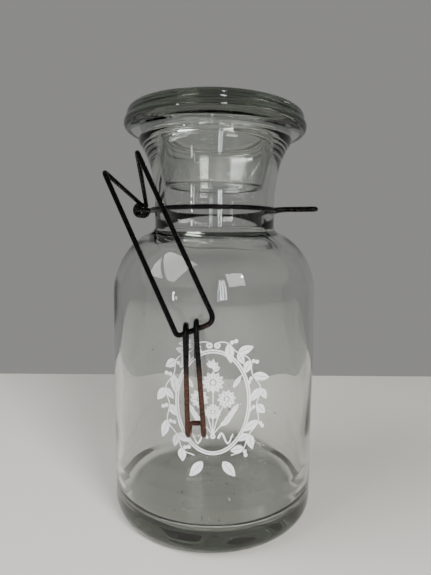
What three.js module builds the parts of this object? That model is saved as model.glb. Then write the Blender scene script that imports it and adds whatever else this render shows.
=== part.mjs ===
// Lidded glass canister with a wire closure: a pressed-glass jar, a glass stopper lid, a neck wire,
// a swing-over bail that hangs open in front of the jar, and a latch lever hooked on the bail.
// Millimetres, +Z up, the jar's axis is the Z axis and its flat underside is z = 0.
import * as THREE from 'three';

// ---- driving dimensions -------------------------------------------------------------------------
const FACETS_ROUND = 40;

const BODY_R = 50;
const WALL = 3.4;
const FOOT_R = 44.5;
const HEEL_Z = 7;
const FLOOR_Z = 9;
const SHOULDER_Z = 108;
const SHOULDER_RISE = 32;
const SHOULDER_REACH = 26;
const NECK_R = 29.5;
const NECK_Z = 142;
const BORE_R = 25.2;
const FLARE_Z = 157;
const LIP_R = 37.1;
const LIP_Z = 184.2;
const MOUTH_R = 29.9;
const SEAT_LOW_Z = 158;

const LID_R = 44.1;
const LID_CREASE_R = 42.9;
const LID_CREASE_Z = 6.3;
const LID_THICK = 10.8;
const PLUG_TOP_R = 28.8;
const PLUG_LOW_R = 24.1;
const PLUG_DEPTH = 25.6;
const PLUG_WALL = 2.8;
const LID_TILT = THREE.MathUtils.degToRad(1.1);
const LID_LIFT = 1.0;

const WIRE_R = 1.1;
const WIRE_SIDES = 8;
const WIRE_STEP = 1.8;
const RING_R = NECK_R + 0.35 + WIRE_R;
const RING_Z = 149.3;

const EAR_AZIMUTH = THREE.MathUtils.degToRad(160.6);
const EAR_R = 41;
const EAR_Z = 150.2;
const EAR_HALF_WIDTH = 5.3;
const CATCH_AZIMUTH = THREE.MathUtils.degToRad(-17);
const CATCH_R = 49.5;
const CATCH_HALF_WIDTH = 2.6;

const EYE_R = 3;
const EYE_SPREAD = 1.9;
const CROSSBAR_DROP_CUT = 1.7;
const CROSSBAR_RISE_CUT = 4.4;

const HOOK_R = 3.3;
const LEVER_AT = 5.9;
const LEVER_DROP = 40.7;
const LEVER_LEAN = 2.1;
const LEVER_WIDTH_TOP = 4.1;
const LEVER_WIDTH_LOW = 6.4;
const LEVER_TAIL = 12;
const LEVER_TOE_BACK = 4.6;
const LEVER_TOE_RISE = 3;

// ---- materials ----------------------------------------------------------------------------------
const glass = new THREE.MeshStandardMaterial({
  color: 0xc9d2cc, roughness: 0.05, metalness: 0, transparent: true, opacity: 0.45,
});
const blackWire = new THREE.MeshStandardMaterial({ color: 0x24221f, roughness: 0.5, metalness: 0.8 });
const rustyWire = new THREE.MeshStandardMaterial({ color: 0x3a2a20, roughness: 0.65, metalness: 0.6 });

// ---- helpers ------------------------------------------------------------------------------------
const v2 = (x, y) => new THREE.Vector2(x, y);
const v3 = (x, y, z) => new THREE.Vector3(x, y, z);
const polar = (r, angle, z) => v3(r * Math.cos(angle), r * Math.sin(angle), z);

// Points of an elliptical arc in the (radius, height) half-plane, both ends included.
function ellipseArc(cx, cz, rx, rz, fromDeg, toDeg, steps) {
  const points = [];
  for (let i = 0; i <= steps; i++) {
    const angle = THREE.MathUtils.degToRad(fromDeg + ((toDeg - fromDeg) * i) / steps);
    points.push(v2(cx + rx * Math.cos(angle), cz + rz * Math.sin(angle)));
  }
  return points;
}

// A solid of revolution from a profile that starts and ends on the axis, anticlockwise from below.
function turned(name, profile, material) {
  const geometry = new THREE.LatheGeometry(profile, FACETS_ROUND);
  geometry.rotateX(Math.PI / 2);
  const mesh = new THREE.Mesh(geometry, material);
  mesh.name = name;
  return mesh;
}

// A path of straight runs whose corners are rounded off, each corner given as [point, cut-back].
function bentPath(corners, closed = false) {
  const path = new THREE.CurvePath();
  const count = corners.length;
  const cutPoint = (i, j) => {
    const [point, cut] = corners[i];
    const towards = corners[j][0].clone().sub(point);
    return point.clone().addScaledVector(towards.normalize(), cut);
  };
  for (let i = 0; i < (closed ? count : count - 1); i++) {
    const next = (i + 1) % count;
    path.add(new THREE.LineCurve3(cutPoint(i, next), cutPoint(next, i)));
    const after = (next + 1) % count;
    if ((closed || next < count - 1) && corners[next][1] > 0) {
      path.add(new THREE.QuadraticBezierCurve3(cutPoint(next, i), corners[next][0], cutPoint(next, after)));
    }
  }
  return path;
}

function wireSection() {
  const outline = new THREE.Shape();
  for (let i = 0; i < WIRE_SIDES; i++) {
    const angle = (2 * Math.PI * i) / WIRE_SIDES;
    const [x, y] = [WIRE_R * Math.cos(angle), WIRE_R * Math.sin(angle)];
    if (i === 0) outline.moveTo(x, y);
    else outline.lineTo(x, y);
  }
  outline.closePath();
  return outline;
}

function wire(name, path, material) {
  const steps = Math.round(path.getLength() / WIRE_STEP);
  const geometry = new THREE.ExtrudeGeometry(wireSection(), { steps, extrudePath: path, bevelEnabled: false });
  const mesh = new THREE.Mesh(geometry, material);
  mesh.name = name;
  return mesh;
}

// ---- jar ----------------------------------------------------------------------------------------
function jarProfile() {
  const outerHeel = ellipseArc(FOOT_R, HEEL_Z, BODY_R - FOOT_R, HEEL_Z, -90, 0, 4);
  const outerShoulder = ellipseArc(
    BODY_R - SHOULDER_REACH, SHOULDER_Z, SHOULDER_REACH, SHOULDER_RISE, 0, 73, 7);
  const outerFlare = new THREE.SplineCurve([
    v2(NECK_R, FLARE_Z), v2(30.4, 163), v2(31.9, 171), v2(34.6, 177.6), v2(LIP_R - 0.5, 180.8),
  ]).getPoints(6);
  const lip = ellipseArc(LIP_R - 1.6, LIP_Z - 1.9, 1.6, 1.9, 0, 90, 3);
  const mouthEdge = ellipseArc(MOUTH_R + 1.4, LIP_Z - 1.4, 1.4, 1.4, 90, 180, 3);
  const innerR = BODY_R - WALL;
  const innerShoulder = ellipseArc(
    innerR - SHOULDER_REACH, SHOULDER_Z, SHOULDER_REACH, SHOULDER_RISE - WALL, 80, 0, 6);
  const innerHeel = ellipseArc(innerR - 8, FLOOR_Z + 7, 8, 7, 0, -90, 4);
  return [
    v2(0, 0),
    ...outerHeel,
    ...outerShoulder,
    v2(NECK_R + 0.2, NECK_Z - 1.4),
    v2(NECK_R, NECK_Z),
    ...outerFlare,
    ...lip,
    ...mouthEdge,
    v2(BORE_R, SEAT_LOW_Z),
    ...innerShoulder,
    ...innerHeel,
    v2(0, FLOOR_Z),
  ];
}

// ---- lid: height 0 is the level of the jar's lip ------------------------------------------------
function lidProfile() {
  const plugRoot = PLUG_TOP_R + 0.3;
  const innerLowR = PLUG_LOW_R - PLUG_WALL;
  const innerTopR = PLUG_TOP_R - PLUG_WALL - 0.6;
  const plugTip = ellipseArc((PLUG_LOW_R + innerLowR) / 2, 1.2 - PLUG_DEPTH, PLUG_WALL / 2, 1.2, -180, 0, 5);
  const topEdge = ellipseArc(LID_CREASE_R - 3.1, LID_THICK - 3.2, 3, 3.2, 0, 90, 5);
  return [
    v2(0, 2.2),
    v2(innerTopR - 4, 2.2),
    v2(innerTopR - 1.1, 1.2),
    v2(innerTopR, -1.8),
    ...plugTip,
    v2(PLUG_TOP_R, -2),
    v2(plugRoot, 0),
    v2(38.8, 0),
    v2(41.4, 0.35),
    v2(43.2, 1.4),
    v2(LID_R - 0.05, 3),
    v2(LID_R, 4.2),
    v2(LID_R - 0.5, 5.6),
    v2(LID_CREASE_R, LID_CREASE_Z),
    ...topEdge,
    v2(0, LID_THICK),
  ];
}

// ---- neck wire: one closed run of wire with an ear for the bail and a catch for the lever -------
// The corners of a flat loop that stands out from the neck ring, in the order of the ring's run.
function loopCorners(azimuth, tipR, halfWidth, z) {
  const out = polar(1, azimuth, 0);
  const side = polar(1, azimuth + Math.PI / 2, 0);
  const at = (r, across) => out.clone().multiplyScalar(r).addScaledVector(side, across).add(v3(0, 0, z));
  return [
    [at(RING_R + 4.5, -halfWidth), 1.5],
    [at(tipR, -halfWidth), 1.5],
    [at(tipR, halfWidth), 1.5],
    [at(RING_R + 4.5, halfWidth), 1.5],
  ];
}

function neckWirePath() {
  const corners = [];
  const ringArc = (from, to) => {
    const steps = Math.round(THREE.MathUtils.radToDeg(to - from) / 7);
    for (let i = 0; i <= steps; i++) {
      const end = i === 0 || i === steps;
      corners.push([polar(RING_R, from + ((to - from) * i) / steps, RING_Z), end ? 1.2 : 0]);
    }
  };
  const catchGap = 1.5 * CATCH_HALF_WIDTH / RING_R;
  const earGap = 1.3 * EAR_HALF_WIDTH / RING_R;
  ringArc(CATCH_AZIMUTH + catchGap, EAR_AZIMUTH - earGap);
  corners.push(...loopCorners(EAR_AZIMUTH, EAR_R, EAR_HALF_WIDTH, EAR_Z));
  ringArc(EAR_AZIMUTH + earGap, CATCH_AZIMUTH + 2 * Math.PI - catchGap);
  corners.push(...loopCorners(CATCH_AZIMUTH, CATCH_R, CATCH_HALF_WIDTH, RING_Z + 0.3));
  return bentPath(corners, true);
}

function neckWire() {
  const path = neckWirePath();
  const steps = Math.round(path.getLength() / WIRE_STEP);
  const mesh = new THREE.Mesh(new THREE.TubeGeometry(path, steps, WIRE_R, WIRE_SIDES, true), blackWire);
  mesh.name = 'neck_wire';
  return mesh;
}

// ---- bail, drawn where it hangs, with its eyes on the outer bar of the ear ----------------------
const hingeCentre = polar(EAR_R, EAR_AZIMUTH, EAR_Z);
const hingeAxis = polar(1, EAR_AZIMUTH + Math.PI / 2, 0);
const bailBend = {
  armA: v3(-48.4, -27.5, 164.5),
  armB: v3(-33.7, -28.5, 173),
  crossbarA: v3(-14.2, -55.3, 97.5),
  crossbarB: v3(0.8, -55.3, 103.2),
};

// The eye at the end of an arm: an open ring round the ear's bar, from its free end to the arm.
function eyeCorners(along, bend) {
  const centre = hingeCentre.clone().addScaledVector(hingeAxis, along);
  const towardsArm = bend.clone().sub(centre);
  towardsArm.addScaledVector(hingeAxis, -towardsArm.dot(hingeAxis)).normalize();
  const sideways = hingeAxis.clone().cross(towardsArm);
  const corners = [];
  for (let degrees = 315; degrees >= 0; degrees -= 15) {
    const angle = THREE.MathUtils.degToRad(degrees);
    const point = centre.clone()
      .addScaledVector(towardsArm, EYE_R * Math.cos(angle))
      .addScaledVector(sideways, EYE_R * Math.sin(angle));
    corners.push([point, degrees === 0 ? 0.35 : 0]);
  }
  return corners;
}

function bailPath() {
  return bentPath([
    ...eyeCorners(EYE_SPREAD, bailBend.armA),
    [bailBend.armA, 2.6],
    [bailBend.crossbarA, CROSSBAR_DROP_CUT],
    [bailBend.crossbarB, CROSSBAR_RISE_CUT],
    [bailBend.armB, 2.6],
    ...eyeCorners(-EYE_SPREAD, bailBend.armB).reverse(),
  ]);
}

// ---- latch lever, drawn as it hangs and relative to the middle of its grip on the crossbar ------
const crossbar = bailBend.crossbarB.clone().sub(bailBend.crossbarA).normalize();
const leverGrip = bailBend.crossbarA.clone().addScaledVector(crossbar, LEVER_AT);

// One side of the lever, from the hook's free end over the crossbar and down to the toe.
function leverSide(side) {
  const hookX = (side * LEVER_WIDTH_TOP) / 2;
  const hookZ = (hookX * crossbar.z) / crossbar.x;
  const toeX = LEVER_LEAN + (side * LEVER_WIDTH_LOW) / 2;
  const corners = [[v3(hookX, HOOK_R, hookZ - LEVER_TAIL), 0]];
  for (let degrees = 0; degrees <= 180; degrees += 20) {
    const angle = THREE.MathUtils.degToRad(degrees);
    corners.push([v3(hookX, HOOK_R * Math.cos(angle), hookZ + HOOK_R * Math.sin(angle)), 0]);
  }
  corners.push(
    [v3(toeX, -HOOK_R, -LEVER_DROP), 2],
    [v3(toeX - side * 0.3, 2.6 - HOOK_R, -LEVER_DROP - 1.2), 1.4],
    [v3(toeX - side * 0.6, LEVER_TOE_BACK - HOOK_R, LEVER_TOE_RISE - LEVER_DROP), 1.6],
  );
  return corners;
}

function leverPath() {
  return bentPath([...leverSide(-1), ...leverSide(1).reverse()]);
}

// ---- assembly -----------------------------------------------------------------------------------
const canister = new THREE.Group();

const jar = turned('jar', jarProfile(), glass);
canister.add(jar);

const lidSeat = new THREE.Group();
lidSeat.position.set(0, 0, LIP_Z + LID_LIFT);
lidSeat.rotation.y = LID_TILT;
lidSeat.add(turned('lid', lidProfile(), glass));
canister.add(lidSeat);

canister.add(neckWire());

canister.add(wire('bail', bailPath(), blackWire));

const lever = wire('latch_lever', leverPath(), rustyWire);
lever.position.copy(leverGrip);
canister.add(lever);

export default canister;
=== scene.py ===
"""Looks of the lidded glass canister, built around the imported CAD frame. Lengths are in metres."""
import math
import random

import bmesh
import bpy
from mathutils import Matrix, Vector


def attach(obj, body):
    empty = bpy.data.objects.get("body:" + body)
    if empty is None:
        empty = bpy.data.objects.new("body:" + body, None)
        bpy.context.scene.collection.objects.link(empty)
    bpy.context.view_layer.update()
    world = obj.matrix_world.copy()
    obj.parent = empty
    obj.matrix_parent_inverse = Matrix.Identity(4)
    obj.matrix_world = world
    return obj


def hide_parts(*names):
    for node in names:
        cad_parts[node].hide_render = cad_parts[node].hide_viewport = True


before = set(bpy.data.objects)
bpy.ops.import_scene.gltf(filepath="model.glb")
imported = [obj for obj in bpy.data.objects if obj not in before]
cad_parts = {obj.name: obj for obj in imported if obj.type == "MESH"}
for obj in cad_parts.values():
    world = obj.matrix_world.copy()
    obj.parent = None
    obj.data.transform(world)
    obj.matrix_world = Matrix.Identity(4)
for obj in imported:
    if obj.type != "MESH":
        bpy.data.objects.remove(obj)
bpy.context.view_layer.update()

MM = 0.001
TAU = 2 * math.pi
SEGMENTS_ROUND = 144


# ---- helpers: geometry ----------------------------------------------------------------------------
def polar(radius, azimuth, height):
    """A point from cylindrical coordinates about +Z, with the azimuth in radians from +X."""
    return Vector((radius * math.cos(azimuth), radius * math.sin(azimuth), height))


def ellipse_arc(centre, radii, start, end, steps):
    """Points of an elliptical arc in the (radius, height) half-plane, angles in degrees."""
    points = []
    for i in range(steps + 1):
        angle = math.radians(start + (end - start) * i / steps)
        points.append((centre[0] + radii[0] * math.cos(angle), centre[1] + radii[1] * math.sin(angle)))
    return points


def spline(points, steps):
    """A Catmull-Rom curve through the points, cut into equal steps on each span."""
    ends = [points[0]] + points + [points[-1]]
    curve = []
    for a, b, c, d in zip(ends, ends[1:], ends[2:], ends[3:]):
        for i in range(steps):
            t = i / steps
            curve.append(tuple(
                0.5 * (2 * q + (r - p) * t + (2 * p - 5 * q + 4 * r - s) * t * t
                       + (3 * q - p - 3 * r + s) * t ** 3)
                for p, q, r, s in zip(a, b, c, d)))
    return curve + [points[-1]]


def new_object(name, mesh_data, material):
    """An object in the scene with one material."""
    piece = bpy.data.objects.new(name, mesh_data)
    bpy.context.scene.collection.objects.link(piece)
    mesh_data.materials.append(material)
    return piece


def turned_bmesh(profile, ripple=None):
    """A closed solid of revolution, metres. The profile runs from axis to axis in (radius, height) mm.

    ripple gives each point's shift inwards and upwards, in mm.
    """
    segments = SEGMENTS_ROUND
    bm = bmesh.new()
    rings = []
    for radius, height in profile:
        if radius == 0:
            rings.append([bm.verts.new((0, 0, height * MM))])
            continue
        ring = []
        for i in range(segments):
            azimuth = TAU * i / segments
            inward, upward = ripple(radius, height, azimuth) if ripple else (0, 0)
            point = polar((radius - inward) * MM, azimuth, (height + upward) * MM)
            ring.append(bm.verts.new(point))
        rings.append(ring)
    for low, high in zip(rings, rings[1:]):
        for i in range(segments):
            j = (i + 1) % segments
            if len(low) == 1:
                bm.faces.new((low[0], high[j], high[i]))
            elif len(high) == 1:
                bm.faces.new((low[i], low[j], high[0]))
            else:
                bm.faces.new((low[i], low[j], high[j], high[i]))
    return bm


def finished_mesh(name, bm, smooth=True):
    """Mesh data from a bmesh, which is freed."""
    data = bpy.data.meshes.new(name)
    bm.to_mesh(data)
    bm.free()
    for polygon in data.polygons:
        polygon.use_smooth = smooth
    return data


def add_bubbles(bm, centres):
    """Air bubbles in the glass: small spheres whose faces point inwards. Centres in m, radii in mm."""
    for centre, radius in centres:
        made = bmesh.ops.create_icosphere(bm, subdivisions=2, radius=radius * MM)
        bmesh.ops.translate(bm, verts=made["verts"], vec=centre)
        faces = {face for vert in made["verts"] for face in vert.link_faces}
        bmesh.ops.reverse_faces(bm, faces=list(faces))


def bent_path(corners, closed=False, step=0.7):
    """Evenly spaced points in mm along straight runs joined by rounded corners.

    Each corner is (point, cut-back), and the rounding starts its cut-back away from the point.
    """
    count = len(corners)

    def cut_point(i, j):
        point, cut = corners[i]
        return point + (corners[j][0] - point).normalized() * cut

    dense = []
    for i in range(count if closed else count - 1):
        after = (i + 1) % count
        a, b = cut_point(i, after), cut_point(after, i)
        runs = max(1, int((b - a).length / 0.4))
        dense += [a.lerp(b, k / runs) for k in range(runs + 1)]
        if (closed or after < count - 1) and corners[after][1] > 0:
            c = cut_point(after, (after + 1) % count)
            dense += [b.lerp(corners[after][0], t).lerp(corners[after][0].lerp(c, t), t)
                      for t in (k / 10 for k in range(1, 10))]
    if closed:
        dense.append(dense[0])
    lengths = [0.0]
    for a, b in zip(dense, dense[1:]):
        lengths.append(lengths[-1] + (b - a).length)
    count = max(2, round(lengths[-1] / step))
    points, k = [], 0
    for i in range(count + (0 if closed else 1)):
        target = lengths[-1] * i / count
        while k < len(dense) - 2 and lengths[k + 1] < target:
            k += 1
        span = lengths[k + 1] - lengths[k]
        points.append(dense[k].lerp(dense[k + 1], (target - lengths[k]) / span if span else 0))
    return points


WIRE_R, WIRE_SIDES = 1.08, 16
WIRE_WEAR = 0.035
WIRE_DOME = [(0.98, 0.25), (0.85, 0.6), (0.55, 0.9)]    # (scale, distance past the end in half radii)


def swept_wire(name, points, material, closed):
    """A round wire along the points, with domed ends where it isn't closed."""
    radius, sides = WIRE_R, WIRE_SIDES
    count = len(points)
    tangents = []
    for i in range(count):
        before = points[i - 1] if closed or i > 0 else points[i]
        after = points[(i + 1) % count] if closed or i < count - 1 else points[i]
        tangents.append((after - before).normalized())
    normal = tangents[0].orthogonal().normalized()
    frames = []
    for i in range(count):
        normal = (normal - tangents[i] * normal.dot(tangents[i])).normalized()
        frames.append((normal, tangents[i].cross(normal)))
    # On a closed wire the frames come back turned, and that turn is spread over the whole length.
    twist = 0.0
    if closed:
        carried = (frames[-1][0] - tangents[0] * frames[-1][0].dot(tangents[0])).normalized()
        first, binormal = frames[0]
        twist = math.atan2(carried.dot(binormal), carried.dot(first))
    sections = [(points[i], i, 1.0) for i in range(count)]
    if not closed:
        start = [(points[0] - tangents[0] * radius * d * 0.5, 0, s) for s, d in WIRE_DOME]
        end = [(points[-1] + tangents[-1] * radius * d * 0.5, count - 1, s) for s, d in WIRE_DOME]
        sections = start[::-1] + sections + end
    bm = bmesh.new()
    rings = []
    for place, i, scale in sections:
        n, b = frames[i]
        turn = -twist * i / count
        worn = 1 - WIRE_WEAR * max(0.0, math.sin(i * 0.37) * math.sin(i * 0.113 + 1))
        ring = []
        for k in range(sides):
            angle = TAU * k / sides + turn
            offset = (n * math.cos(angle) + b * math.sin(angle)) * radius * scale * worn
            ring.append(bm.verts.new((place + offset) * MM))
        rings.append(ring)
    pairs = list(zip(rings, rings[1:])) + ([(rings[-1], rings[0])] if closed else [])
    for low, high in pairs:
        for k in range(sides):
            j = (k + 1) % sides
            bm.faces.new((low[k], low[j], high[j], high[k]))
    if not closed:
        bm.faces.new(rings[0][::-1])
        bm.faces.new(rings[-1])
    bmesh.ops.recalc_face_normals(bm, faces=bm.faces)
    return new_object(name, finished_mesh(name, bm), material)


# ---- helpers: materials ---------------------------------------------------------------------------
class Shader:
    """A node material with short calls for its nodes and links."""

    def __init__(self, name):
        self.material = bpy.data.materials.new(name)
        self.material.use_nodes = True
        self.nodes = self.material.node_tree.nodes
        self.links = self.material.node_tree.links
        self.surface = self.nodes["Principled BSDF"]

    def node(self, kind, settings=None, **values):
        """A new node. Settings are its properties, and values its inputs, with _ for a space."""
        made = self.nodes.new(kind)
        for key, value in (settings or {}).items():
            setattr(made, key, value)
        for key, value in values.items():
            made.inputs[key.replace("_", " ")].default_value = value
        return made

    def set(self, **values):
        """Constants on the surface shader's own sockets."""
        for key, value in values.items():
            self.surface.inputs[key.replace("_", " ")].default_value = value

    def link(self, source, target):
        self.links.new(source, target)

    def place(self):
        return self.node("ShaderNodeTexCoord").outputs["Object"]

    def noise(self, scale, detail=4.0, stretch=None):
        texture = self.node("ShaderNodeTexNoise", Scale=scale, Detail=detail)
        if stretch:
            mapping = self.node("ShaderNodeMapping", Scale=stretch)
            self.link(self.place(), mapping.inputs["Vector"])
            self.link(mapping.outputs["Vector"], texture.inputs["Vector"])
        else:
            self.link(self.place(), texture.inputs["Vector"])
        return texture.outputs["Fac"]

    def ramp(self, value, stops):
        """A colour or grey level from a value, by (position, colour or level) stops."""
        made = self.node("ShaderNodeValToRGB")
        ramp = made.color_ramp
        while len(ramp.elements) < len(stops):
            ramp.elements.new(0.5)
        for element, (position, colour) in zip(ramp.elements, stops):
            element.position = position
            element.color = (*colour, 1) if isinstance(colour, tuple) else (colour,) * 3 + (1,)
        self.link(value, made.inputs["Fac"])
        return made.outputs["Color"]

    def bump(self, height, strength, distance):
        made = self.node("ShaderNodeBump", Strength=strength, Distance=distance)
        self.link(height, made.inputs["Height"])
        self.link(made.outputs["Normal"], self.surface.inputs["Normal"])


GLASS_IOR = 1.51
GLASS_ABSORPTION = (0.12, 0.20, 0.10)


def glass_material(name, tint, density):
    """Clear glass with faint smears and waves. It darkens to grey-green where it is thick."""
    s = Shader(name)
    s.set(Base_Color=(*tint, 1), Transmission_Weight=1.0, IOR=GLASS_IOR)
    smears = s.ramp(s.noise(38, 5, (1, 1, 0.5)), [(0.5, 0.0), (0.78, 0.07)])
    s.link(smears, s.surface.inputs["Roughness"])
    s.bump(s.noise(26, 2, (1, 1, 0.45)), 0.10, 0.0006)
    volume = s.node("ShaderNodeVolumeAbsorption", Color=(*GLASS_ABSORPTION, 1), Density=density)
    s.link(volume.outputs["Volume"], s.nodes["Material Output"].inputs["Volume"])
    return s.material


def wire_material(name, rust_low=None, rust_high=None):
    """Blackened steel with small rust patches, or rust growing from height rust_high to rust_low, in m."""
    s = Shader(name)
    patches = s.noise(260, 6)
    if rust_low is None:
        rust = s.ramp(patches, [(0.66, 0.0), (0.74, 1.0)])
    else:
        split = s.node("ShaderNodeSeparateXYZ")
        s.link(s.place(), split.inputs["Vector"])
        down = s.node("ShaderNodeMapRange", From_Min=rust_high, From_Max=rust_low)
        s.link(split.outputs["Z"], down.inputs["Value"])
        ragged = s.node("ShaderNodeMath", {"operation": "MULTIPLY_ADD"})
        ragged.inputs[1].default_value = 0.7
        s.link(patches, ragged.inputs[0])
        s.link(down.outputs["Result"], ragged.inputs[2])
        rust = s.ramp(ragged.outputs["Value"], [(0.55, 0.0), (0.95, 1.0)])
    black = s.ramp(s.noise(700, 3), [(0.3, (0.004, 0.004, 0.0045)), (0.75, (0.017, 0.016, 0.017))])
    brown = s.ramp(s.noise(900, 5), [(0.25, (0.018, 0.006, 0.004)), (0.8, (0.075, 0.024, 0.013))])
    colour = s.node("ShaderNodeMix", {"data_type": "RGBA"})
    s.link(rust, colour.inputs["Factor"])
    s.link(black, colour.inputs["A"])
    s.link(brown, colour.inputs["B"])
    s.link(colour.outputs["Result"], s.surface.inputs["Base Color"])
    s.link(s.ramp(rust, [(0.0, 0.85), (1.0, 0.3)]), s.surface.inputs["Metallic"])
    s.link(s.ramp(s.noise(500, 4), [(0.3, 0.22), (0.8, 0.42)]), s.surface.inputs["Roughness"])
    s.bump(s.noise(1400, 4), 0.25, 0.0002)
    return s.material


def enamel_material(name, cover):
    """White enamel, with an opacity of cover at most, and a little thinner in patches."""
    s = Shader(name)
    s.set(Roughness=0.38)
    s.link(s.ramp(s.noise(420, 4), [(0.3, (0.84, 0.87, 0.88)), (0.75, (0.93, 0.95, 0.95))]),
           s.surface.inputs["Base Color"])
    s.link(s.ramp(s.noise(900, 5), [(0.3, cover - 0.12), (0.6, cover)]), s.surface.inputs["Alpha"])
    s.bump(s.noise(1600, 3), 0.2, 0.00008)
    return s.material


def shelf_material():
    s = Shader("shelf")
    s.set(Roughness=0.6)
    paint = s.ramp(s.noise(3, 4), [(0.3, (0.55, 0.535, 0.50)), (0.7, (0.59, 0.575, 0.54))])
    s.link(paint, s.surface.inputs["Base Color"])
    return s.material


# ---- camera ---------------------------------------------------------------------------------------
CAMERA_PLACE = (0.0007, -0.2277, 0.1352)
CAMERA_PITCH = math.radians(6.1)
CAMERA_ROLL = math.radians(-0.4)
CAMERA_LENS, CAMERA_SENSOR = 28.17, 36    # mm


def make_camera():
    data = bpy.data.cameras.new("camera")
    data.lens = CAMERA_LENS
    data.sensor_width = CAMERA_SENSOR
    data.clip_start = 0.01
    camera = bpy.data.objects.new("camera", data)
    bpy.context.scene.collection.objects.link(camera)
    place = Matrix.Translation(CAMERA_PLACE)
    pitch = Matrix.Rotation(math.pi / 2 - CAMERA_PITCH, 4, "X")
    camera.matrix_world = place @ pitch @ Matrix.Rotation(-CAMERA_ROLL, 4, "Z")
    bpy.context.scene.camera = camera


# ---- jar ------------------------------------------------------------------------------------------
BODY_R, WALL, FLOOR_Z, LIP_Z, LIP_R = 50.0, 3.4, 9.0, 184.2, 37.1
NECK_R, BORE_R, SHOULDER_Z, SHOULDER_REACH, SHOULDER_RISE = 29.5, 25.2, 108.0, 26.0, 32.0
HEEL_R, HEEL_Z = 5.5, 7.0
MOUTH_R, MOUTH_EDGE_R, MOUTH_TAPER_LOW_Z = 29.9, 1.4, 158.0
MOULD_LINES, MOULD_LINE_HALF, MOULD_LINE_DEPTH = (11.5, 16, 21.5, 28), 0.7, 0.12
FLOOR_EDGE_R, FLOOR_DIP = 38.6, 0.6
STRAIGHT_STEPS, FLOOR_STEPS, TAPER_STEPS = 24, 24, 8


def jar_profile():
    """Outside from the middle of the base up to the lip, then the inside down to the floor."""
    inner = BODY_R - WALL
    wall_low = 32
    profile = [(0, 0), (36, 0)]
    profile += ellipse_arc((BODY_R - HEEL_R, HEEL_Z), (HEEL_R, HEEL_Z), -90, 0, 12)
    for line in MOULD_LINES:
        profile += [(BODY_R, line - MOULD_LINE_HALF), (BODY_R - MOULD_LINE_DEPTH, line),
                    (BODY_R, line + MOULD_LINE_HALF)]
    profile += [(BODY_R, wall_low + (SHOULDER_Z - wall_low) * i / STRAIGHT_STEPS)
                for i in range(STRAIGHT_STEPS)]
    profile += ellipse_arc((BODY_R - SHOULDER_REACH, SHOULDER_Z), (SHOULDER_REACH, SHOULDER_RISE),
                           0, 73, 22)
    profile += spline([(31, 139), (NECK_R + 0.25, 140.4), (NECK_R, 142.2), (NECK_R, 150), (NECK_R, 157),
                       (30.4, 163), (31.9, 171), (34.6, 177.6), (LIP_R - 0.5, 180.8)], 5)
    profile += ellipse_arc((LIP_R - 1.6, LIP_Z - 1.9), (1.6, 1.9), 0, 90, 7)
    mouth_edge_z = LIP_Z - MOUTH_EDGE_R
    profile += ellipse_arc((MOUTH_R + MOUTH_EDGE_R, mouth_edge_z), (MOUTH_EDGE_R, MOUTH_EDGE_R), 90, 180, 6)
    profile += [(MOUTH_R - (MOUTH_R - BORE_R) * i / TAPER_STEPS,
                 mouth_edge_z - (mouth_edge_z - MOUTH_TAPER_LOW_Z) * i / TAPER_STEPS)
                for i in range(1, TAPER_STEPS + 1)]
    profile += [(BORE_R, 154), (BORE_R, 150), (BORE_R, 146)]
    profile += ellipse_arc((inner - SHOULDER_REACH, SHOULDER_Z), (SHOULDER_REACH, SHOULDER_RISE - WALL),
                           78, 0, 22)
    profile += [(inner, SHOULDER_Z - (SHOULDER_Z - FLOOR_Z - 7) * i / STRAIGHT_STEPS)
                for i in range(1, STRAIGHT_STEPS)]
    profile += ellipse_arc((FLOOR_EDGE_R, FLOOR_Z + 7), (inner - FLOOR_EDGE_R, 7), 0, -90, 12)
    profile += [(FLOOR_EDGE_R - 1.6 * i, FLOOR_Z - FLOOR_DIP * (1 - (1 - i / FLOOR_STEPS) ** 2))
                for i in range(1, FLOOR_STEPS)]
    profile += [(0, FLOOR_Z - FLOOR_DIP)]
    return profile


def inner_ripple(radius, height, azimuth):
    """Pressed glass is uneven inside: slow ripples, about 0.5 mm at most, on the inner wall and floor."""
    if radius > BODY_R - 1 or height < 3 or height > 132:
        return 0.0, 0.0
    if height < FLOOR_Z + 1.5:
        turn = 1.6 * math.sin(2 * azimuth + 0.4) + 0.8 * math.sin(5 * azimuth)
        swirl = math.sin(0.42 * radius + turn)
        patch = (math.sin(0.19 * radius * math.cos(azimuth - 0.6) + 1)
                 * math.sin(0.23 * radius * math.sin(azimuth)))
        return 0.0, (0.22 * swirl + 0.3 * patch) * min(1.0, radius / 12)
    if radius < 20:
        return 0.0, 0.0
    wave = math.sin(3 * azimuth + height * 0.04) + 0.6 * math.sin(7 * azimuth - height * 0.09 + 1.3)
    return 0.14 * (wave + 0.5 * math.sin(height * 0.21 + 2 * azimuth)), 0.0


def jar_bubbles():
    """Bubbles in the wall and in the base, as (centre in m, radius in mm)."""
    dice = random.Random(7)
    middle = BODY_R - WALL / 2
    found = []
    for _ in range(110):
        azimuth = dice.uniform(0, TAU)
        place = polar(middle * MM, azimuth, dice.uniform(22, 104) * MM)
        found.append((place, dice.choice([0.2, 0.28, 0.4])))
    for _ in range(45):
        azimuth, radius = dice.uniform(0, TAU), 38 * math.sqrt(dice.random())
        place = polar(radius * MM, azimuth, dice.uniform(2.5, 6) * MM)
        found.append((place, dice.choice([0.2, 0.35, 0.5])))
    return found


# ---- lid ------------------------------------------------------------------------------------------
LID_R, LID_THICK, LID_TILT, LID_SEAT = 44.1, 10.8, math.radians(1.1), LIP_Z + 1.0


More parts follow.
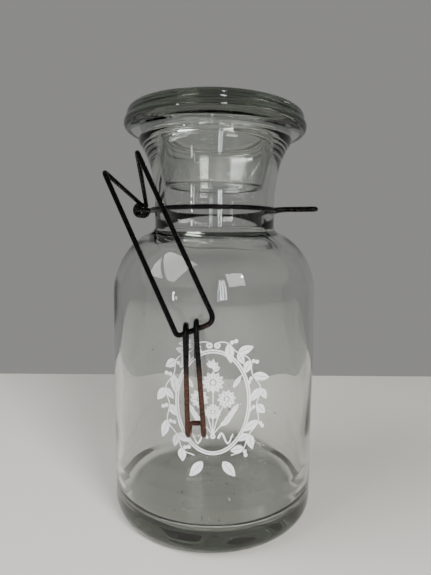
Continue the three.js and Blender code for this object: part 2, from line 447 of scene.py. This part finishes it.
def lid_profile():
    """The hollow plug's inside, its tip and outside, then the rim from its underside to the top."""
    profile = [(0, 2.2), (12, 2.2), (20, 2.1)]
    profile += spline([(21.4, 2.0), (24.2, 1.1), (25.4, -1.8), (24.2, -8), (21.3, -24.4)], 6)
    profile += ellipse_arc((22.7, -24.4), (1.4, 1.2), -180, 0, 10)
    profile += [(24.1 + 4.7 * i / 6, -24.4 + 22.4 * i / 6) for i in range(1, 7)]
    profile += [(28.95, -0.8), (29.6, -0.05), (30.5, 0), (36, 0)]
    profile += spline([(38.8, 0), (41.4, 0.35), (43.2, 1.4), (LID_R - 0.1, 3), (LID_R - 0.05, 4.2),
                       (LID_R - 0.5, 5.5), (LID_R - 1.25, 6.25)], 5)
    profile += spline([(LID_R - 1.2, 6.45), (LID_R - 1.2, 7.3), (LID_R - 1.5, 8.3)], 3)
    profile += ellipse_arc((LID_R - 4.3, LID_THICK - 3.2), (3.0, 3.2), 15, 90, 12)
    profile += [(30, LID_THICK), (15, LID_THICK - 0.05), (0, LID_THICK - 0.05)]
    return profile


def finish_piece(piece, body):
    """The piece rides on its body and stands for the CAD node of the same name."""
    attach(piece, body)
    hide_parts(body)


def make_glass():
    jar_glass = glass_material("jar_glass", (0.985, 0.99, 0.982), 24.0)
    lid_glass = glass_material("lid_glass", (0.98, 0.988, 0.978), 19.0)
    bm = turned_bmesh(jar_profile(), inner_ripple)
    add_bubbles(bm, jar_bubbles())
    finish_piece(new_object("jar_body", finished_mesh("jar_body", bm), jar_glass), "jar")

    bm = turned_bmesh(lid_profile())
    seat = Matrix.Translation((0, 0, LID_SEAT * MM)) @ Matrix.Rotation(LID_TILT, 4, "Y")
    bmesh.ops.transform(bm, matrix=seat, verts=bm.verts)
    finish_piece(new_object("lid_stopper", finished_mesh("lid_stopper", bm), lid_glass), "lid")


# ---- wires, laid on the same routes as their CAD solids -------------------------------------------
RING_R, RING_Z = 30.95, 149.3
EAR_AZIMUTH, EAR_R, EAR_Z, EAR_HALF_WIDTH = math.radians(160.6), 41.0, 150.2, 5.3
CATCH_AZIMUTH, CATCH_R, CATCH_HALF_WIDTH = math.radians(-17), 49.5, 2.6
EYE_R, EYE_SPREAD = 3.0, 1.9
HOOK_R, LEVER_AT, LEVER_DROP, LEVER_TAIL = 3.3, 5.9, 40.7, 12.0
LEVER_TOP, LEVER_LOW, LEVER_LEAN = 4.1, 6.4, 2.1    # width at the hooks, width at the toe, toe's offset
LEVER_TOE_BACK, LEVER_TOE_RISE = 4.6, 3.0
LOOP_CUT, LOOP_ROOT = 1.5, 4.5
ARM_A, ARM_B = Vector((-48.4, -27.5, 164.5)), Vector((-33.7, -28.5, 173))
BAR_A, BAR_B = Vector((-14.2, -55.3, 97.5)), Vector((0.8, -55.3, 103.2))


def loop_corners(azimuth, tip, half_width, height):
    """The flat loop that stands out from the neck ring, in the order of the ring's run."""
    out, side = polar(1, azimuth, 0), polar(1, azimuth + math.pi / 2, 0)

    def at(radius, across):
        return out * radius + side * across + Vector((0, 0, height))

    root = RING_R + LOOP_ROOT
    return [(at(radius, across), LOOP_CUT)
            for radius, across in ((root, -half_width), (tip, -half_width),
                                   (tip, half_width), (root, half_width))]


def neck_wire_points():
    def ring_arc(start, end):
        steps = round(math.degrees(end - start) / 3.5)
        return [(polar(RING_R, start + (end - start) * i / steps, RING_Z),
                 1.2 if i in (0, steps) else 0) for i in range(steps + 1)]

    catch_gap, ear_gap = 1.5 * CATCH_HALF_WIDTH / RING_R, 1.3 * EAR_HALF_WIDTH / RING_R
    corners = ring_arc(CATCH_AZIMUTH + catch_gap, EAR_AZIMUTH - ear_gap)
    corners += loop_corners(EAR_AZIMUTH, EAR_R, EAR_HALF_WIDTH, EAR_Z)
    corners += ring_arc(EAR_AZIMUTH + ear_gap, CATCH_AZIMUTH + TAU - catch_gap)
    corners += loop_corners(CATCH_AZIMUTH, CATCH_R, CATCH_HALF_WIDTH, RING_Z + 0.3)
    return bent_path(corners, closed=True)


def eye_corners(along, bend):
    """An open ring of wire round the ear's outer bar, which ends on the side of the arm's bend."""
    axis = polar(1, EAR_AZIMUTH + math.pi / 2, 0)
    centre = polar(EAR_R, EAR_AZIMUTH, EAR_Z) + axis * along
    towards = bend - centre
    towards = (towards - axis * towards.dot(axis)).normalized()
    sideways = axis.cross(towards)
    corners = []
    for degrees in range(315, -1, -9):
        angle = math.radians(degrees)
        point = centre + towards * (EYE_R * math.cos(angle)) + sideways * (EYE_R * math.sin(angle))
        corners.append((point, 0.35 if degrees == 0 else 0))
    return corners


def bail_points():
    return bent_path(
        eye_corners(EYE_SPREAD, ARM_A) + [(ARM_A, 2.6), (BAR_A, 1.7), (BAR_B, 4.4), (ARM_B, 2.6)]
        + eye_corners(-EYE_SPREAD, ARM_B)[::-1])


def lever_points():
    """Two hooks over the crossbar, two legs and the turned-up toe that joins them."""
    bar = (BAR_B - BAR_A).normalized()
    grip = BAR_A + bar * LEVER_AT

    def side_corners(side):
        x = side * LEVER_TOP / 2
        z = x * bar.z / bar.x
        toe = LEVER_LEAN + side * LEVER_LOW / 2
        corners = [(grip + Vector((x, HOOK_R, z - LEVER_TAIL)), 0)]
        for degrees in range(0, 181, 12):
            angle = math.radians(degrees)
            corners.append(
                (grip + Vector((x, HOOK_R * math.cos(angle), z + HOOK_R * math.sin(angle))), 0))
        corners.append((grip + Vector((toe, -HOOK_R, -LEVER_DROP)), 2))
        corners.append((grip + Vector((toe - side * 0.3, 2.6 - HOOK_R, -LEVER_DROP - 1.2)), 1.4))
        toe_end = Vector((toe - side * 0.6, LEVER_TOE_BACK - HOOK_R, LEVER_TOE_RISE - LEVER_DROP))
        corners.append((grip + toe_end, 1.6))
        return corners

    return bent_path(side_corners(-1) + side_corners(1)[::-1])


def make_wires():
    black = wire_material("black_wire")
    rusty = wire_material("rusty_wire", rust_low=0.072, rust_high=0.092)
    for body, points, material, slot, closed in (
            ("neck_wire", neck_wire_points(), black, "black_wire", True),
            ("bail", bail_points(), black, "black_wire", False),
            ("latch_lever", lever_points(), rusty, "rusty_wire", False)):
        finish_piece(swept_wire(f"{body}_bent", points, material, closed), body)


# ---- enamel print: flat shapes in (across, up) mm, wrapped on the front of the body ---------------
PRINT_Z = 68.8
PRINT_R = BODY_R + 0.03
PRINT_THICK = 0.05
PRINT_LINE = 0.45
BAND_RINGS = (((15.9, 22.3), (15.2, 21.6)), ((14.9, 21.3), (14.3, 20.7)))    # outer and inner ovals


class Print:
    """Collects flat outlines and wraps them on the body as thin closed slabs."""

    def __init__(self):
        self.bm = bmesh.new()

    @staticmethod
    def wrap(x, y, radius):
        return polar(radius * MM, -math.pi / 2 + x / BODY_R, (PRINT_Z + y) * MM)

    def strip(self, left, right, closed=False):
        """A slab between two outlines with the same number of points."""
        layers = [[self.bm.verts.new(self.wrap(x, y, r)) for x, y in side]
                  for r in (PRINT_R, PRINT_R + PRINT_THICK) for side in (left, right)]
        low_left, low_right, top_left, top_right = layers
        count = len(left)
        faces = []
        for i in range(count if closed else count - 1):
            j = (i + 1) % count
            faces.append((low_left[j], low_right[j], low_right[i], low_left[i]))
            faces.append((top_left[i], top_right[i], top_right[j], top_left[j]))
            faces.append((low_left[i], top_left[i], top_left[j], low_left[j]))
            faces.append((low_right[j], top_right[j], top_right[i], low_right[i]))
        if not closed:
            faces.append((low_left[0], low_right[0], top_right[0], top_left[0]))
            faces.append((low_right[-1], low_left[-1], top_left[-1], top_right[-1]))
        for face in faces:
            self.bm.faces.new(face)

    def ribbon(self, points, width):
        """A line of a constant width, or of a width that is a function of the way along, 0 to 1."""
        left, right = [], []
        for i, (x, y) in enumerate(points):
            ax, ay = points[max(0, i - 1)]
            bx, by = points[min(len(points) - 1, i + 1)]
            length = math.hypot(bx - ax, by - ay) or 1
            nx, ny = -(by - ay) / length, (bx - ax) / length
            half = width(i / (len(points) - 1)) / 2 if callable(width) else width / 2
            left.append((x + nx * half, y + ny * half))
            right.append((x - nx * half, y - ny * half))
        self.strip(left, right)

    def leaf(self, x, y, heading, length, width):
        """A pointed leaf from its stalk, in two halves with a thin clear midrib between them."""
        c, s = math.cos(heading), math.sin(heading)
        for side in (-1, 1):
            edge, rib = [], []
            for i in range(13):
                t = i / 12
                belly = width / 2 * math.sin(math.pi * t ** 0.8) ** 0.9 + 0.02
                gap = 0.09 * math.sin(math.pi * t) + 0.01
                for across, line in ((belly + gap, edge), (gap, rib)):
                    along, off = length * t, side * across
                    line.append((x + c * along - s * off, y + s * along + c * off))
            if side > 0:
                self.strip(edge, rib)
            else:
                self.strip(rib, edge)

    def disc(self, x, y, radius, hole=0.03):
        angles = [TAU * i / 24 for i in range(24)]
        inner, outer = ([(x + r * math.cos(a), y + r * math.sin(a)) for a in angles]
                        for r in (hole, radius))
        self.strip(inner, outer, closed=True)

    def flower(self, x, y, radius, petals, turn=0.0):
        for i in range(petals):
            heading = turn + TAU * i / petals
            self.leaf(x + 0.28 * radius * math.cos(heading), y + 0.28 * radius * math.sin(heading),
                      heading, radius * 0.74, radius * 4.1 / petals)
        self.disc(x, y, radius * 0.2)

    def finish(self, name, material):
        """The collected slabs as one piece on the jar."""
        bmesh.ops.recalc_face_normals(self.bm, faces=self.bm.faces)
        piece = new_object(name, finished_mesh(name, self.bm, smooth=False), material)
        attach(piece, "jar")


def oval(half_width, half_height, count=96):
    return [(half_width * math.cos(TAU * i / count), half_height * math.sin(TAU * i / count))
            for i in range(count)]


def draw_wreath(wreath):
    """A swaying stem up each side, with leaves and berries, and a few pieces on the middle line."""
    last = 39
    for side in (-1, 1):
        stem = []
        for i in range(last + 1):
            angle = math.radians(84 - 150 * i / last)
            sway = 1.1 * math.sin(i * 0.75)
            stem.append((side * (19.6 + sway) * math.cos(angle), (25.3 + sway * 0.6) * math.sin(angle)))
        wreath.ribbon(stem, PRINT_LINE)
        for k, i in enumerate(range(3, last, 4)):
            x, y = stem[i]
            ahead = math.atan2(stem[i + 1][1] - y, stem[i + 1][0] - x)
            spread = 0.75 if k % 2 else -0.7
            wreath.leaf(x, y, ahead + spread, 8.2 - 1.2 * (k % 3), 3.4)
            if k % 3 == 1:
                wreath.leaf(x, y, ahead - spread * 0.9, 5.6, 2.7)
            else:
                heading = ahead - spread * 1.5
                for reach in (1.5, 3.2):
                    wreath.disc(x + reach * math.cos(heading), y + reach * math.sin(heading), 0.85)
        wreath.leaf(side * 4.2, -25.2, math.radians(-90 + side * 38), 8.6, 3.8)
    for x in (-1.6, 1.6):
        wreath.disc(x, 23.9, 1.3, 0.35)


def draw_posy(posy):
    """Stalks, four flowers, a tuft and side leaves, tied with a curled ribbon."""
    for x, y in ((0, 9.5), (-5.6, 1.5), (5.6, 1.5), (-7.5, -6.5), (7.5, -6.5)):
        steps = [i / 14 for i in range(15)]
        posy.ribbon([(x * t * (0.45 + 0.55 * t), -14 + (y + 14) * t) for t in steps], PRINT_LINE)
    posy.flower(0, 8.6, 4.6, 12)
    posy.flower(-5.6, 1.6, 3.9, 10, 0.2)
    posy.flower(5.6, 1.6, 3.9, 10, 0.1)
    posy.flower(0, -3.8, 3.4, 11, 0.15)
    for side in (-1, 1):
        for k in range(4):
            heading = math.radians(90 - side * (62 - 8 * k))
            posy.leaf(side * (3 + 1.5 * k), -9.5 + 1.6 * k, heading, 5.2, 1.9)
        posy.leaf(side * 8.2, 6.2, math.radians(90 - side * 34), 6.4, 1.7)
        steps = [i / 24 for i in range(25)]
        curl = [(side * (2.2 + 6.2 * t), -15.2 + 2.2 * math.sin(TAU * t * 1.15)) for t in steps]
        posy.ribbon(curl, lambda t: 1.0 - 0.5 * t)
    for k in range(5):
        heading = math.radians(90 + (k - 2) * 30)
        posy.leaf(0, 13.4 + 0.4 * k, heading, 4.2 - 0.5 * abs(k - 2), 1.7)
    posy.disc(0, -14.2, 1.1, 0.3)


def make_print():
    enamel = enamel_material("enamel_print", 0.97)
    thin_enamel = enamel_material("enamel_leaves", 0.93)

    band = Print()
    for outer, inner in BAND_RINGS:
        band.strip(oval(*inner), oval(*outer), closed=True)
    band.finish("print_band", enamel)

    wreath = Print()
    draw_wreath(wreath)
    wreath.finish("print_wreath", thin_enamel)

    posy = Print()
    draw_posy(posy)
    posy.finish("print_posy", enamel)


# ---- stage and light ------------------------------------------------------------------------------
SHELF_HALF, SHELF_BACK_Y, SHELF_Z = 1.5, 0.212, -0.0002
BACKDROP_DARK, BACKDROP_BRIGHT = 0.085, 0.27


def make_shelf():
    data = bpy.data.meshes.new("shelf_top")
    corners = [(-SHELF_HALF, -SHELF_HALF, SHELF_Z), (SHELF_HALF, -SHELF_HALF, SHELF_Z),
               (SHELF_HALF, SHELF_BACK_Y, SHELF_Z), (-SHELF_HALF, SHELF_BACK_Y, SHELF_Z)]
    data.from_pydata(corners, [], [(0, 1, 2, 3)])
    new_object("shelf_top", data, shelf_material())


def make_backdrop():
    """A plain grey world, brighter towards +Y and darker on the other sides."""
    world = bpy.data.worlds.new("world")
    world.use_nodes = True
    nodes, links = world.node_tree.nodes, world.node_tree.links
    background = nodes["Background"]
    background.inputs["Color"].default_value = (1.0, 0.995, 0.965, 1)
    direction = nodes.new("ShaderNodeSeparateXYZ")
    links.new(nodes.new("ShaderNodeTexCoord").outputs["Generated"], direction.inputs["Vector"])
    level = nodes.new("ShaderNodeMapRange")
    for key, value in (("From Min", -0.1), ("From Max", 0.75),
                       ("To Min", BACKDROP_DARK), ("To Max", BACKDROP_BRIGHT)):
        level.inputs[key].default_value = value
    links.new(direction.outputs["Y"], level.inputs["Value"])
    links.new(level.outputs["Result"], background.inputs["Strength"])
    bpy.context.scene.world = world


def area_light(name, place, aim, size, power, colour=(1, 1, 1), mirrored=True):
    """A rectangular light aimed at a point. One that isn't mirrored leaves no reflection in the glass."""
    data = bpy.data.lights.new(name, "AREA")
    data.shape = "RECTANGLE"
    data.size, data.size_y = size
    data.energy = power
    data.color = colour
    light = bpy.data.objects.new(name, data)
    bpy.context.scene.collection.objects.link(light)
    light.visible_glossy = mirrored
    light.location = place
    light.rotation_euler = (Vector(aim) - Vector(place)).to_track_quat("-Z", "Y").to_euler()


def make_lights():
    area_light("key", (0.40, -0.72, 0.62), (0, -0.03, 0.05), (0.30, 0.40), 13, (1.0, 0.985, 0.95), False)
    area_light("fill_top", (-0.50, -0.20, 0.65), (-0.10, -0.02, 0), (0.5, 0.5), 7, mirrored=False)
    area_light("lamp_spot", (0.42, -0.62, 0.52), (0, 0, 0.14), (0.035, 0.035), 0.7)
    for k, x in enumerate((0.12, 0.165, 0.21)):
        area_light(f"window_{k}", (x, -0.95, 0.34), (0, 0, 0.12), (0.022, 0.42), 0.7, (0.9, 0.95, 1.0))
    area_light("window_left", (-0.55, -0.60, 0.16), (0, 0, 0.08), (0.03, 0.16), 0.5)


# ---- build ----------------------------------------------------------------------------------------
make_camera()
make_glass()
make_wires()
make_print()
make_shelf()
make_backdrop()
make_lights()
